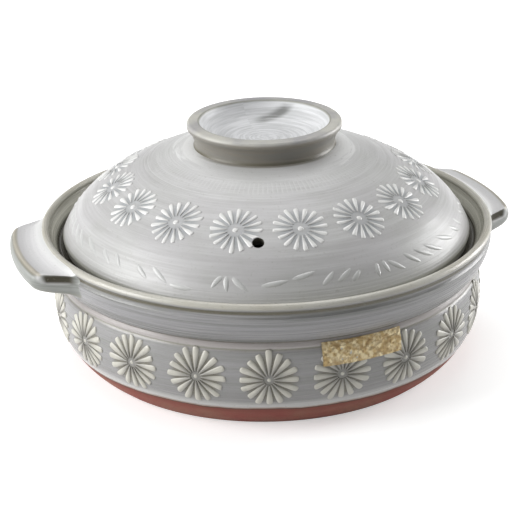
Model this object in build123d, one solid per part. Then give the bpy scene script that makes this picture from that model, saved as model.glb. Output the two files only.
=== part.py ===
from build123d import *
import math
import os

# Donabe: a lidded clay casserole for the table stove. All lengths are millimetres.
# The origin is the centre of the base on the table, +Z is up, and the two handles lie along X.
# The front of the pot, where its paper label is, faces -Y.

# Bowl
rim_height = 86.0  # table to the top of the rolled lip
lip_radius = 141.0
lip_width = 5.2  # the lip is a full round of this thickness
lip_groove_depth = 0.7  # turned line right under the lip
collar_height = 26.2  # top of the lip to the step under the collar
collar_inset = 0.4  # the collar's widest place, under the groove, lies this far in from the lip
collar_drop = 8.6  # top of the lip to that widest place
collar_taper = 8.2  # how far the collar's foot lies in from the lip
collar_bulge = 1.5  # how far the collar's side stands out from a straight line
collar_undercut = 0.9  # height of the step's slanted underside
collar_step = 1.6  # from the collar's foot in to the neck
belly_swell = 3.6  # how far the belly stands out past the neck
heel_inset = 3.3  # from the belly in to the heel
heel_height = 21.0  # where the side turns in towards the base
foot_inset = 16.5  # from the heel in to the base
foot_edge_round = 1.2
foot_ring_width = 15.0  # flat ring that the pot stands on
foot_recess = 2.0  # how far the base is turned out inside that ring
foot_recess_slope = 3.0
floor_thickness = 8.5
wall_thickness = 8.2  # at the belly
floor_round = 20.0  # inner corner between floor and side

# Gallery, the ledge inside the lip that carries the lid
gallery_depth = 11.6  # top of the lip to the ledge
gallery_inset = 10.6  # from the lip in to the outer edge of the ledge
gallery_round = 1.6
ledge_width = 10.4
ledge_nose = 4.0  # depth of the ledge's upright inner edge

# Lid
lid_clearance = 2.8  # room all round between the lid's edge and the gallery
lid_edge_height = 5.2  # ledge to the lid's widest place
lid_edge_round = 1.2
lid_foot_inset = 1.2  # the edge draws in by this much towards the ledge
lid_seat_width = 6.6  # flat bottom of the lid's edge
lid_wall = 6.2
lid_shoulder_inset = 23.3  # from the lid's edge in to the shoulder
lid_shoulder_height = 32.4  # ledge to the shoulder, where the crown runs into the steep side
lid_rise = 58.7  # ledge to the seat of the knob
lid_crown_bulge = 2.9  # how far the crown stands above a straight line

# Steam vent, bored square to the crown
vent_radius = 3.5
vent_inset = 1.3  # from the shoulder in to the vent
vent_turn_angle = -22.2  # degrees round from the front, towards +X
vent_overrun = 6.0

# Knob, a turned foot ring that is also the lid's stand when it lies upside down
knob_radius = 48.0
knob_height = 14.9
knob_root_inset = 5.0  # from the rim in to the knob's root on the lid
knob_rim_width = 7.6
knob_rim_band = 5.2  # depth of the rolled rim
knob_rim_proud = 2.2  # how far the rim stands out from the wall under it
knob_rim_round = 2.2
knob_mouth_round = 0.8
knob_dish_depth = 11.6
knob_dish_floor_inset = 24.0  # from the rim in to the dish's floor
knob_dish_angle = 62.0  # degrees, slope of the dish's wall where it leaves the rim

# Handles, two lugs luted to the collar
handle_projection = 16.7  # from the lip out to the edge of a handle
handle_edge_drop = 6.6  # top of the lip to the handle's outer edge
handle_edge_thickness = 10.0
handle_lower_edge_proud = 0.5  # the lower edge stands out past the upper one
handle_edge_groove = 0.5
handle_edge_roll = 1.25  # fullness of the edge's lower roll
handle_upper_lip_share = 0.2  # of the edge's thickness, its flat upper lip
handle_lower_edge_share = 0.6  # of the edge's thickness, from its top to the lower roll
handle_roll_width_share = 0.4  # of the edge's thickness, how far the lower roll runs inwards
handle_root_drop = 3.2  # top of the lip to the handle's top where it leaves the lip
handle_dish = 2.6  # hollow of the handle's top
handle_root_depth = 24.0  # top of the lip to the handle's underside at the collar
handle_underside_hollow = 1.4
handle_root_angle = 21.5  # degrees either side of the handle's middle
handle_tip_angle = 16.3
handle_corner_round = 12.0
handle_flare_round = 12.0  # hollow where a handle's end runs into the collar
luting_gap = 0.1  # line of slip between a handle and the collar
grip_groove_radius = 2.6  # hollow along each end of a handle
grip_groove_depth = 1.8
grip_groove_cover = 1.2  # clay left above it
grip_groove_length = 17.0

# Chrysanthemum stamps filled with white slip, a row round the wall and a row round the lid
petal_count = 16
petal_notch_radius = 3.8  # the petals part from each other here
petal_width = 4.3
slip_relief = 0.5  # how far the slip stands proud of the clay
wall_flower_radius = 15.4
wall_flower_gap = 15.8  # least room between two flowers of the row
wall_flower_drop = 22.3  # from the collar's foot down to the flowers' centres
lid_flower_radius = 15.9
lid_flower_gap = 5.0
lid_flower_inset = 9.3  # from the lid's shoulder in to the flowers' centres
lid_flower_turn_angle = -30.2  # one flower of the lid lies here, degrees round from the front

# Paper label on the front, pasted over the tops of two flowers
label_left_angle = -6.4  # degrees round from the front, towards +X
label_right_angle = 14.8
label_drop = 2.2  # from the collar's foot down to the label
label_height = 14.0
label_thickness = 0.3

# Places that follow from the sizes above
lip_round = lip_width / 2
lip_centre = (lip_radius - lip_round, rim_height - lip_round)
lip_start_angle = -40.0  # where the lip's round begins, under its outer side
lip_end_angle = 190.0
collar_radius = lip_radius - collar_inset
collar_foot_radius = lip_radius - collar_taper
collar_foot_height = rim_height - collar_height
neck_radius = collar_foot_radius - collar_step
neck_height = collar_foot_height - collar_undercut
belly_radius = neck_radius + belly_swell
heel_radius = belly_radius - heel_inset
foot_radius = heel_radius - foot_inset
foot_flat_radius = foot_radius - foot_ring_width
floor_height = foot_recess + floor_thickness
gallery_radius = lip_radius - gallery_inset
ledge_height = rim_height - gallery_depth
ledge_inner_radius = gallery_radius - ledge_width
lid_radius = gallery_radius - lid_clearance
lid_shoulder_radius = lid_radius - lid_shoulder_inset
vent_place = lid_shoulder_radius - vent_inset
knob_root_radius = knob_radius - knob_root_inset
knob_seat_height = ledge_height + lid_rise
knob_top = knob_seat_height + knob_height
handle_reach = lip_radius + handle_projection
label_high = collar_foot_height - label_drop
label_low = label_high - label_height


def middle_of(a, b):
    return ((a[0] + b[0]) / 2, (a[1] + b[1]) / 2)


def bowed(a, b, bulge):
    # An arc from a to b that stands off their straight line by bulge, to the right of the way from a to b
    run, rise = b[0] - a[0], b[1] - a[1]
    length = math.hypot(run, rise)
    centre = middle_of(a, b)
    crest = (centre[0] + bulge * rise / length, centre[1] - bulge * run / length)
    return ThreePointArc(a, crest, b)


def on_circle(centre, radius, degrees):
    turn = math.radians(degrees)
    return (centre[0] + radius * math.cos(turn), centre[1] + radius * math.sin(turn))


def round_corner(outline, corner, radius):
    # Rounds the outline's corner nearest to the given (radius, height) point
    nearest = outline.vertices().sort_by_distance(Vector(*corner))[0]
    return fillet(nearest, radius)


def turned(outline, degrees=360.0):
    # Turns a flat outline, drawn as (distance from the axis, height), round the pot's axis
    return revolve(Plane.XZ * outline, axis=Axis.Z, revolution_arc=degrees)


def belly_curve():
    # The decorated side between heel and neck
    belly_height = (heel_height + collar_foot_height) / 2
    return ThreePointArc(
        (heel_radius, heel_height),
        (belly_radius, belly_height),
        (neck_radius, neck_height),
    )


def make_bowl():
    belly = belly_curve()
    heel = TangentArc((heel_radius, heel_height), (foot_radius, 0), tangent=-(belly % 0))
    collar_foot = (collar_foot_radius, collar_foot_height)
    collar_top = (collar_radius, rim_height - collar_drop)
    collar = bowed(collar_foot, collar_top, collar_bulge)
    lip_start = on_circle(lip_centre, lip_round, lip_start_angle)
    lip_end = on_circle(lip_centre, lip_round, lip_end_angle)
    groove = bowed(collar_top, lip_start, -lip_groove_depth)
    lip_top = on_circle(lip_centre, lip_round, (lip_start_angle + lip_end_angle) / 2)
    lip = ThreePointArc(lip_start, lip_top, lip_end)
    ledge_corner = (gallery_radius, ledge_height)
    ledge_edge = (ledge_inner_radius, ledge_height)
    nose_foot = (ledge_inner_radius, ledge_height - ledge_nose)
    floor_corner = (heel_radius - wall_thickness, floor_height)
    inner_side = ThreePointArc(
        nose_foot,
        (belly_radius - wall_thickness, (ledge_height + heel_height) / 2),
        floor_corner,
    )
    recess_edge = (foot_flat_radius - foot_recess_slope, foot_recess)
    outline = make_face(
        Curve()
        + [
            belly,
            heel,
            Line(belly @ 1, collar_foot),
            collar,
            groove,
            lip,
            Line(lip_end, ledge_corner),
            Line(ledge_corner, ledge_edge),
            Line(ledge_edge, nose_foot),
            inner_side,
            Line(floor_corner, (0, floor_height)),
            Line((0, floor_height), (0, foot_recess)),
            Line((0, foot_recess), recess_edge),
            Line(recess_edge, (foot_flat_radius, 0)),
            Line((foot_flat_radius, 0), (foot_radius, 0)),
        ]
    )
    outline = round_corner(outline, floor_corner, floor_round)
    outline = round_corner(outline, ledge_corner, gallery_round)
    outline = round_corner(outline, (foot_radius, 0), foot_edge_round)
    return turned(outline)


def crown_curve():
    # Outer curve of the lid from the knob's root to the shoulder
    shoulder = (lid_shoulder_radius, ledge_height + lid_shoulder_height)
    return bowed(shoulder, (knob_root_radius, knob_seat_height), lid_crown_bulge)


def lid_side_curve():
    # The steep side of the lid, from its edge up into the crown
    crown = crown_curve()
    edge = (lid_radius, ledge_height + lid_edge_height)
    side = TangentArc(crown @ 0, edge, tangent=-(crown % 0))
    return ThreePointArc(side @ 1, side @ 0.5, side @ 0)


def lean_on_crown(distance):
    # How far the crown leans out at this distance from the pot's axis, and its height there
    crown = crown_curve()
    centre = crown.arc_center
    lean = math.asin((distance - centre.X) / crown.radius)
    return lean, centre.Y + crown.radius * math.cos(lean)


def set_in(curve, share, depth):
    # The point that lies a wall's depth under the curve, square to it, at a share of its length
    point = curve @ share
    way = curve % share
    return (point.X - way.Y * depth, point.Y + way.X * depth)


def make_lid_dome():
    crown = crown_curve()
    side = lid_side_curve()
    edge = (lid_radius, ledge_height + lid_edge_height)
    inner_crown = ThreePointArc(
        set_in(crown, 0, lid_wall), set_in(crown, 0.5, lid_wall), set_in(crown, 1, lid_wall)
    )
    seat_outer = (lid_radius - lid_foot_inset, ledge_height)
    seat_inner = (seat_outer[0] - lid_seat_width, ledge_height)
    inner_side = TangentArc(inner_crown @ 0, seat_inner, tangent=-(inner_crown % 0))
    top_inside = inner_crown @ 1
    outline = make_face(
        Curve()
        + [
            crown,
            side,
            Line(edge, seat_outer),
            Line(seat_outer, seat_inner),
            inner_side,
            inner_crown,
            Line(top_inside, (0, top_inside.Y)),
            Line((0, top_inside.Y), (0, knob_seat_height)),
            Line((0, knob_seat_height), (knob_root_radius, knob_seat_height)),
        ]
    )
    outline = round_corner(outline, edge, lid_edge_round)
    return turned(outline) - make_vent()


def vent_axis():
    # Where the vent's axis leaves the crown, and the way it points
    lean, mouth_height = lean_on_crown(vent_place)
    turn = math.radians(vent_turn_angle)
    ahead = Vector(math.sin(turn), -math.cos(turn), 0)
    mouth = ahead * vent_place + Vector(0, 0, mouth_height)
    way = ahead * math.sin(lean) + Vector(0, 0, math.cos(lean))
    return mouth, way


def make_vent():
    mouth, way = vent_axis()
    length = lid_wall + 2 * vent_overrun
    return Plane(origin=mouth - way * (lid_wall / 2), z_dir=way) * Cylinder(vent_radius, length)


def make_lid_knob():
    root = (knob_root_radius, knob_seat_height)
    rim_foot = (knob_radius - knob_rim_proud, knob_top - knob_rim_band)
    rim_side = (knob_radius, knob_top - knob_rim_band + knob_rim_proud)
    rim_outer = (knob_radius, knob_top)
    rim_inner = (knob_radius - knob_rim_width, knob_top)
    dish_floor = (knob_radius - knob_dish_floor_inset, knob_top - knob_dish_depth)
    steep = math.radians(knob_dish_angle)
    dish_wall = TangentArc(rim_inner, dish_floor, tangent=(-math.cos(steep), -math.sin(steep)))
    outline = make_face(
        Curve()
        + [
            Line((0, knob_seat_height), root),
            Line(root, rim_foot),
            Line(rim_foot, rim_side),
            Line(rim_side, rim_outer),
            Line(rim_outer, rim_inner),
            dish_wall,
            Line(dish_floor, (0, dish_floor[1])),
            Line((0, dish_floor[1]), (0, knob_seat_height)),
        ]
    )
    outline = round_corner(outline, rim_outer, knob_rim_round)
    outline = round_corner(outline, rim_inner, knob_mouth_round)
    return turned(outline)


def handle_end(side):
    # The straight end of the lug seen from above, from the handle's tip inwards past the lip
    tip = Vector(*on_circle((0, 0), handle_reach, side * handle_tip_angle))
    root = Vector(*on_circle((0, 0), lip_radius, side * handle_root_angle))
    return tip, root, (root - tip).normalized()


def handle_plan():
    # Seen from above: the foot of the collar and a lug with rounded corners that flares into it
    into_wall = 2 * (lip_radius - collar_foot_radius)
    tips, inners = [], []
    for side in (-1, 1):
        tip, root, inwards = handle_end(side)
        tips.append(tip)
        inners.append(root + inwards * into_wall)
    lug = make_face(
        Curve()
        + [
            Line((0, 0), inners[0]),
            Line(inners[0], tips[0]),
            ThreePointArc(tips[0], (handle_reach, 0), tips[1]),
            Line(tips[1], inners[1]),
            Line(inners[1], (0, 0)),
        ]
    )
    plan = Circle(collar_foot_radius) + lug
    for tip in tips:
        plan = round_corner(plan, (tip.X, tip.Y), handle_corner_round)
    for inner in inners:
        plan = round_corner(plan, (inner.X, inner.Y), handle_flare_round)
    return plan


def handle_section():
    # The handle's cut through its middle, from inside the collar's wall out to its edge
    edge_height = rim_height - handle_edge_drop
    upper_reach = handle_reach - handle_lower_edge_proud
    upper_lip_depth = handle_edge_thickness * handle_upper_lip_share
    lower_edge_depth = handle_edge_thickness * handle_lower_edge_share
    roll_width = handle_edge_thickness * handle_roll_width_share
    root_top = (lip_centre[0], rim_height - handle_root_drop)
    root_low = (collar_foot_radius - lip_round, rim_height - handle_root_depth)
    top_edge = (upper_reach, edge_height)
    upper_lip = (upper_reach, edge_height - upper_lip_depth)
    lower_edge = (handle_reach, edge_height - lower_edge_depth)
    underside = (handle_reach - roll_width, edge_height - handle_edge_thickness)
    return make_face(
        Curve()
        + [
            bowed(root_top, top_edge, handle_dish),
            Line(top_edge, upper_lip),
            bowed(upper_lip, lower_edge, -handle_edge_groove),
            bowed(lower_edge, underside, handle_edge_roll),
            bowed(underside, root_low, -handle_underside_hollow),
            Line(root_low, root_top),
        ]
    )


def grip_groove(side):
    # The hollow along one end of the handle, round-ended, under the top edge
    tip, root, inwards = handle_end(side)
    outward = inwards.rotate(Axis.Z, -side * 90)
    height = rim_height - handle_edge_drop - grip_groove_cover - grip_groove_radius
    centre = (root + tip) * 0.5 + outward * (grip_groove_radius - grip_groove_depth)
    place = Plane(origin=centre + Vector(0, 0, height), z_dir=inwards)
    straight = grip_groove_length - 2 * grip_groove_radius
    groove = place * Cylinder(grip_groove_radius, straight)
    for end in (-1, 1):
        groove += place * Pos(0, 0, end * straight / 2) * Sphere(grip_groove_radius)
    return groove


def make_handle(bowl, facing):
    # A handle that faces this many degrees round from +X, cut to the collar that it is luted to
    collar = bowl.translate(Vector(luting_gap, 0, 0))
    sweep = 2 * (handle_root_angle + handle_tip_angle)
    ring = turned(handle_section(), sweep).rotate(Axis.Z, -sweep / 2)
    handle = ring & extrude(handle_plan(), rim_height)
    for side in (-1, 1):
        handle -= grip_groove(side)
    outside = (handle - collar).solids().sort_by(SortBy.VOLUME)[-1]
    return outside.rotate(Axis.Z, facing)


def skin(curves, thickness):
    # A layer on curves which run on into each other, on the right of their way
    far = [off_curve(curve, thickness) for curve in curves]
    ends = [Line(curves[0] @ 0, far[0] @ 0), Line(curves[-1] @ 1, far[-1] @ 1)]
    return make_face(Curve() + [*curves, *far, *ends])


def off_curve(curve, distance):
    # An arc beside the given one, this far to the right of its way
    return ThreePointArc(
        set_in(curve, 0, -distance), set_in(curve, 0.5, -distance), set_in(curve, 1, -distance)
    )


def flower_outline(radius):
    # Petals that widen outwards round a plain middle
    pitch = 360 / petal_count
    half_petal = math.degrees(math.asin(petal_width / 2 / radius))
    points = []
    for petal in range(petal_count):
        middle = petal * pitch
        points.append(on_circle((0, 0), petal_notch_radius, middle - pitch / 2))
        points.append(on_circle((0, 0), radius, middle - half_petal))
        points.append(on_circle((0, 0), radius, middle + half_petal))
    return make_face(Polyline(*points, close=True))


def row_of_flowers(layer, place, radius, row_radius, gap, first_angle):
    # Flowers cut from a thin layer of slip and set out evenly round the pot
    count = int(2 * math.pi * row_radius / (2 * radius + gap))
    stamp = place * extrude(flower_outline(radius), radius / 2, both=True)
    half_turn = math.degrees(radius / row_radius)
    band = turned(layer, 4 * half_turn).rotate(Axis.Z, -90 - 2 * half_turn)
    flower = (band & stamp).solids().sort_by(SortBy.VOLUME)[-1]
    return [flower.rotate(Axis.Z, first_angle + turn * 360 / count) for turn in range(count)]


def make_wall_flowers():
    place = Plane(
        origin=(0, -belly_radius, collar_foot_height - wall_flower_drop),
        x_dir=(0, 0, 1),
        z_dir=(0, -1, 0),
    )
    layer = skin([belly_curve()], slip_relief)
    return Compound(
        row_of_flowers(layer, place, wall_flower_radius, belly_radius, wall_flower_gap, 0)
    )


def make_lid_flowers():
    row_radius = lid_shoulder_radius - lid_flower_inset
    lean, height = lean_on_crown(row_radius)
    out = Vector(0, -math.sin(lean), math.cos(lean))
    place = Plane(origin=(0, -row_radius, height), x_dir=(1, 0, 0), z_dir=out)
    layer = skin([lid_side_curve(), crown_curve()], slip_relief)
    flowers = row_of_flowers(
        layer, place, lid_flower_radius, row_radius, lid_flower_gap, lid_flower_turn_angle
    )
    vent = make_vent()
    return Compound([flower - vent for flower in flowers])


def make_label():
    # A strip of paper that follows the side of the bowl, over the flowers
    belly = belly_curve()
    centre = belly.arc_center
    low, high = [math.degrees(math.asin((h - centre.Y) / belly.radius)) for h in (label_low, label_high)]
    back_radius = belly.radius + slip_relief
    mid = (low + high) / 2
    back = ThreePointArc(*[on_circle((centre.X, centre.Y), back_radius, d) for d in (low, mid, high)])
    outline = skin([back], label_thickness)
    return turned(outline, label_right_angle - label_left_angle).rotate(Axis.Z, label_left_angle - 90)


os.makedirs("parts", exist_ok=True)
bowl = make_bowl()
pieces = {
    "pot_bowl": bowl,
    "right_handle": make_handle(bowl, 0),
    "left_handle": make_handle(bowl, 180),
    "wall_flowers": make_wall_flowers(),
    "paper_label": make_label(),
    "lid_dome": make_lid_dome(),
    "lid_flowers": make_lid_flowers(),
    "lid_knob": make_lid_knob(),
}
for name, piece in pieces.items():
    export_step(piece, f"parts/{name}.step")
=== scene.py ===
import math

import bpy
from mathutils import Matrix, Vector, noise


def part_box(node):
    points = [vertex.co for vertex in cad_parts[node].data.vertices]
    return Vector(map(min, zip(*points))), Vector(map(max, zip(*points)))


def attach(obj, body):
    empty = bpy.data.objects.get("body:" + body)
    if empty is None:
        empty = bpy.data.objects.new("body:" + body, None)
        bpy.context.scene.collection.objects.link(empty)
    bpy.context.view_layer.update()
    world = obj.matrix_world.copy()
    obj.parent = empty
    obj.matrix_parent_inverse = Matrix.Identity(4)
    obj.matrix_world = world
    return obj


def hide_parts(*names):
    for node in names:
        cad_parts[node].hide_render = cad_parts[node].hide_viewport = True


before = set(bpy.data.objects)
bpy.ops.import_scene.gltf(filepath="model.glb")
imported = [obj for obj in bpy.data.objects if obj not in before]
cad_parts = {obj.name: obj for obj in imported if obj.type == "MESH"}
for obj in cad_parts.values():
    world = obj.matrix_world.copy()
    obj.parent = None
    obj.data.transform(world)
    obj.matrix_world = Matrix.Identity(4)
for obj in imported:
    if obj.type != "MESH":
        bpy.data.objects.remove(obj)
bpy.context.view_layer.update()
print("frame loaded")

# outlines are drawn in millimetres as (distance from the pot's axis, height)
mm = 0.001
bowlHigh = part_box("pot_bowl")[1] / mm
domeLow, domeHigh = (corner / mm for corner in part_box("lid_dome"))
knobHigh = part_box("lid_knob")[1] / mm
turnSteps = 256  # faces round a turned piece
turnedDegrees, laidDegrees = 38, 60  # the sharpest angles that still shade smooth


# small helpers for modelling
def clearSelection():
    if bpy.context.mode != "OBJECT":
        bpy.ops.object.mode_set(mode="OBJECT")
    bpy.ops.object.select_all(action="DESELECT")


def pick(piece):
    clearSelection()
    piece.select_set(True)
    bpy.context.view_layer.objects.active = piece


def settle(piece):
    # puts the place of a finished piece into its mesh
    pick(piece)
    bpy.ops.object.transform_apply(location=True, rotation=True, scale=True)


def setAll(thing, settings):
    for key, value in settings.items():
        setattr(thing, key, value)


def modify(piece, kind, **settings):
    setAll(piece.modifiers.new(kind.lower(), kind), settings)


def applyAll(piece):
    pick(piece)
    for modifier in list(piece.modifiers):
        bpy.ops.object.modifier_apply(modifier=modifier.name)


def smooth(piece, degrees):
    pick(piece)
    bpy.ops.object.shade_smooth_by_angle(angle=math.radians(degrees))


def startEdit(kind, action="SELECT"):
    bpy.ops.object.mode_set(mode="EDIT")
    bpy.ops.mesh.select_mode(type=kind)
    bpy.ops.mesh.select_all(action=action)


def endEdit():
    # turns the faces outwards and leaves edit mode
    bpy.ops.mesh.select_all(action="SELECT")
    bpy.ops.mesh.normals_make_consistent(inside=False)
    bpy.ops.object.mode_set(mode="OBJECT")


def ownCopy(piece, name):
    made = piece.copy()
    made.data = piece.data.copy()
    made.name = name
    bpy.context.scene.collection.objects.link(made)
    return made


def joined(pieces, name):
    clearSelection()
    for piece in pieces:
        piece.select_set(True)
    bpy.context.view_layer.objects.active = pieces[0]
    bpy.ops.object.join()
    pieces[0].name = name
    return pieces[0]


def finishPiece(piece, material, body, slot, *nodes):
    piece.data.materials.clear()
    piece.data.materials.append(material)
    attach(piece, body)
    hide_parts(*nodes)


# arcs for the outlines, each as points that follow its start
def arcThrough(start, middle, end, steps):
    ax, ay, bx, by, cx, cy = *start, *middle, *end
    double = 2 * (ax * (by - cy) + bx * (cy - ay) + cx * (ay - by))
    a2, b2, c2 = ax * ax + ay * ay, bx * bx + by * by, cx * cx + cy * cy
    centre = (
        (a2 * (by - cy) + b2 * (cy - ay) + c2 * (ay - by)) / double,
        (a2 * (cx - bx) + b2 * (ax - cx) + c2 * (bx - ax)) / double,
    )
    radius = math.dist(centre, start)
    first, half, last = (math.atan2(p[1] - centre[1], p[0] - centre[0]) for p in (start, middle, end))
    sweep = (last - first) % math.tau
    if (half - first) % math.tau > sweep:
        sweep -= math.tau
    turns = [first + sweep * step / steps for step in range(1, steps + 1)]
    return [(centre[0] + radius * math.cos(t), centre[1] + radius * math.sin(t)) for t in turns]


def bowed(start, end, bulge, steps):
    # stands off the straight line by bulge, to the right of the way
    run, rise = end[0] - start[0], end[1] - start[1]
    length = math.hypot(run, rise)
    middle = (
        (start[0] + end[0]) / 2 + bulge * rise / length,
        (start[1] + end[1]) / 2 - bulge * run / length,
    )
    return arcThrough(start, middle, end, steps)


def tangentArc(start, way, end, steps):
    # leaves start along way and ends at end
    run, rise = end[0] - start[0], end[1] - start[1]
    turn = math.atan2(way[0] * rise - way[1] * run, way[0] * run + way[1] * rise)
    return bowed(start, end, math.hypot(run, rise) / 2 * math.tan(turn / 2), steps)


def roundedCorner(before, corner, after, radius, steps):
    # points of the round that replaces a corner
    inwards = Vector(before) - Vector(corner)
    outwards = Vector(after) - Vector(corner)
    inwards.normalize()
    outwards.normalize()
    half = math.acos(max(-1, min(1, inwards.dot(outwards)))) / 2
    reach = radius / math.tan(half)
    bisector = (inwards + outwards).normalized()
    start = Vector(corner) + inwards * reach
    end = Vector(corner) + outwards * reach
    middle = Vector(corner) + bisector * (radius / math.sin(half) - radius)
    return [tuple(start)] + arcThrough(tuple(start), tuple(middle), tuple(end), steps)


def wayAt(points, index):
    step = Vector(points[index + 1]) - Vector(points[index])
    return step.normalized()


def drawOutline(name, outline):
    # draws the outline point by point, ready to be spun round the pot's axis
    clearSelection()
    first = outline[0]
    bpy.ops.mesh.primitive_plane_add(size=mm, location=(first[0] * mm, 0, first[1] * mm))
    piece = bpy.context.object
    piece.name = name
    settle(piece)
    startEdit("VERT")
    bpy.ops.mesh.merge(type="CENTER")
    for last, point in zip(outline, outline[1:]):
        step = ((point[0] - last[0]) * mm, 0, (point[1] - last[1]) * mm)
        bpy.ops.mesh.extrude_vertices_move(TRANSFORM_OT_translate={"value": step})
    bpy.ops.mesh.select_all(action="SELECT")
    return piece


def spinOutline(steps, degrees):
    bpy.ops.mesh.spin(steps=steps, angle=math.radians(degrees), center=(0, 0, 0), axis=(0, 0, 1))
    bpy.ops.mesh.select_all(action="SELECT")
    bpy.ops.mesh.remove_doubles(threshold=0.01 * mm)
    endEdit()


def turnOutline(name, outline):
    piece = drawOutline(name, outline)
    spinOutline(turnSteps, 360)
    return piece


def turnSector(name, outline, degrees, steps):
    # a closed outline, filled and spun part of the way, with +X at its middle
    piece = drawOutline(name, outline)
    bpy.ops.mesh.edge_face_add()
    spinOutline(steps, degrees)
    piece.data.transform(Matrix.Rotation(math.radians(degrees / 2), 4, "Z"))
    return piece


# tracks run up a turned surface, and small pieces are laid on them
def makeTrack(points):
    lengths = [0]
    for last, point in zip(points, points[1:]):
        lengths.append(lengths[-1] + math.dist(last, point))
    return lengths, points


def trackPoint(track, length):
    lengths, points = track
    index = 0
    while index < len(lengths) - 2 and lengths[index + 1] < length:
        index += 1
    share = (length - lengths[index]) / (lengths[index + 1] - lengths[index])
    return Vector(points[index]).lerp(Vector(points[index + 1]), share)


def trackWay(track, length, reach):
    return (trackPoint(track, length + reach) - trackPoint(track, length - reach)).normalized()


def lengthAt(track, place, part=0):
    # length along the track where its distance from the axis, or part 1, its height, comes nearest
    lengths, points = track
    return lengths[min(range(len(points)), key=lambda index: abs(points[index][part] - place))]


def layOn(piece, track, length, degrees):
    # x runs round the pot, y up the track and z off the surface
    reach = 1.5
    samples = {}
    for vertex in piece.data.vertices:
        x, y, height = (value / mm for value in vertex.co)
        key = round(length + y, 2)
        if key not in samples:
            here = trackPoint(track, key)
            way = trackWay(track, key, reach)
            samples[key] = here, Vector((way.y, -way.x))
        here, outwards = samples[key]
        spot = here + outwards * height
        turn = math.radians(degrees) + x / here.x
        vertex.co = Vector((spot.x * math.sin(turn), -spot.x * math.cos(turn), spot.y)) * mm
    piece.data.update()


# camera, fitted to the photograph
camera = {
    "azimuth": -19.6,
    "elevation": 21.19,
    "distance": 987,
    "aimHeight": 85.7,
    "aimPixel": (266.72, 213.71),  # where the middle of the lip's plane lies in the photograph
    "focalPixels": 1566.5,
    "rollDegrees": -1.02,
    "imagePixels": 520,
    "sensorWidth": 36,
}


def placeCamera():
    azimuth, elevation = math.radians(camera["azimuth"]), math.radians(camera["elevation"])
    level = math.cos(elevation)
    back = Vector((math.sin(azimuth) * level, -math.cos(azimuth) * level, math.sin(elevation)))
    aim = Vector((0, 0, camera["aimHeight"] * mm))
    middle = camera["imagePixels"] / 2
    swing = math.atan2(camera["aimPixel"][0] - middle, camera["focalPixels"])
    tilt = math.atan2(camera["aimPixel"][1] - middle, camera["focalPixels"])
    turned = (
        (-back).to_track_quat("-Z", "Y").to_matrix()
        @ Matrix.Rotation(swing, 3, "Y")
        @ Matrix.Rotation(tilt, 3, "X")
        @ Matrix.Rotation(math.radians(camera["rollDegrees"]), 3, "Z")
    )
    place = aim + back * camera["distance"] * mm
    bpy.ops.object.camera_add(location=place, rotation=turned.to_euler())
    made = bpy.context.object
    made.data.sensor_width = camera["sensorWidth"]
    made.data.lens = camera["focalPixels"] / camera["imagePixels"] * camera["sensorWidth"]
    made.data.clip_start = 0.05
    bpy.context.scene.camera = made


placeCamera()
print("camera placed")


# node helpers for the materials, which find their node tree from the sockets they are given
def feed(node, inputs):
    for key, value in inputs.items():
        if isinstance(value, bpy.types.NodeSocket):
            node.id_data.links.new(value, node.inputs[key])
        else:
            node.inputs[key].default_value = value
    return node


def addNode(kind, inputs, **settings):
    tree = next(value.id_data for value in inputs.values() if isinstance(value, bpy.types.NodeSocket))
    made = tree.nodes.new(kind)
    setAll(made, settings)
    return feed(made, inputs).outputs


def useGroup(group, inputs):
    return addNode("ShaderNodeGroup", inputs, node_tree=group)


def calculate(operation, *values):
    return addNode("ShaderNodeMath", dict(enumerate(values)), operation=operation)[0]


def chain(operation, first, *others):
    for other in others:
        first = calculate(operation, first, other)
    return first


def both(*values):
    return chain("MULTIPLY", *values)


def either(*values):
    return chain("MAXIMUM", *values)


def total(*values):
    return chain("ADD", *values)


def opposite(mask):
    return calculate("SUBTRACT", 1.0, mask)


def hypotenuse(first, second):
    return calculate("SQRT", total(both(first, first), both(second, second)))


def vectorMath(operation, inputs):
    return addNode("ShaderNodeVectorMath", inputs, operation=operation)


def joinParts(inputs):
    return addNode("ShaderNodeCombineXYZ", inputs)[0]


def splitParts(value):
    return addNode("ShaderNodeSeparateXYZ", {0: value})


def noiseAt(point, scale, detail, roughness=0.5, distortion=0.0):
    values = {"Scale": scale, "Detail": detail, "Roughness": roughness, "Distortion": distortion}
    return addNode("ShaderNodeTexNoise", {"Vector": point, **values})[0]


def ease(value, low, high, start=0.0, end=1.0):
    # rises softly from start at low to end at high
    inputs = {"Value": value, "From Min": low, "From Max": high, "To Min": start, "To Max": end}
    return addNode("ShaderNodeMapRange", inputs, interpolation_type="SMOOTHSTEP")[0]


def fade(value, low, high, start=1.0):
    return ease(value, low, high, start, 0.0)


def zone(value, low, high, soft):
    # a mask that is one between low and high
    return both(ease(value, low - soft, low + soft), fade(value, high - soft, high + soft))


def newGroup(name, inputs):
    # inputs with no number of their own are vectors
    tree = bpy.data.node_groups.new(name, "ShaderNodeTree")
    for label, value in inputs.items():
        kind = "NodeSocketVector" if value is None else "NodeSocketFloat"
        made = tree.interface.new_socket(name=label, in_out="INPUT", socket_type=kind)
        if value is not None:
            made.default_value = value
    return tree, tree.nodes.new("NodeGroupInput").outputs


def closeGroup(tree, results):
    for label, socket in results.items():
        kind = "NodeSocketVector" if socket.type == "VECTOR" else "NodeSocketFloat"
        tree.interface.new_socket(name=label, in_out="OUTPUT", socket_type=kind)
    feed(tree.nodes.new("NodeGroupOutput"), results)
    return tree


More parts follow.
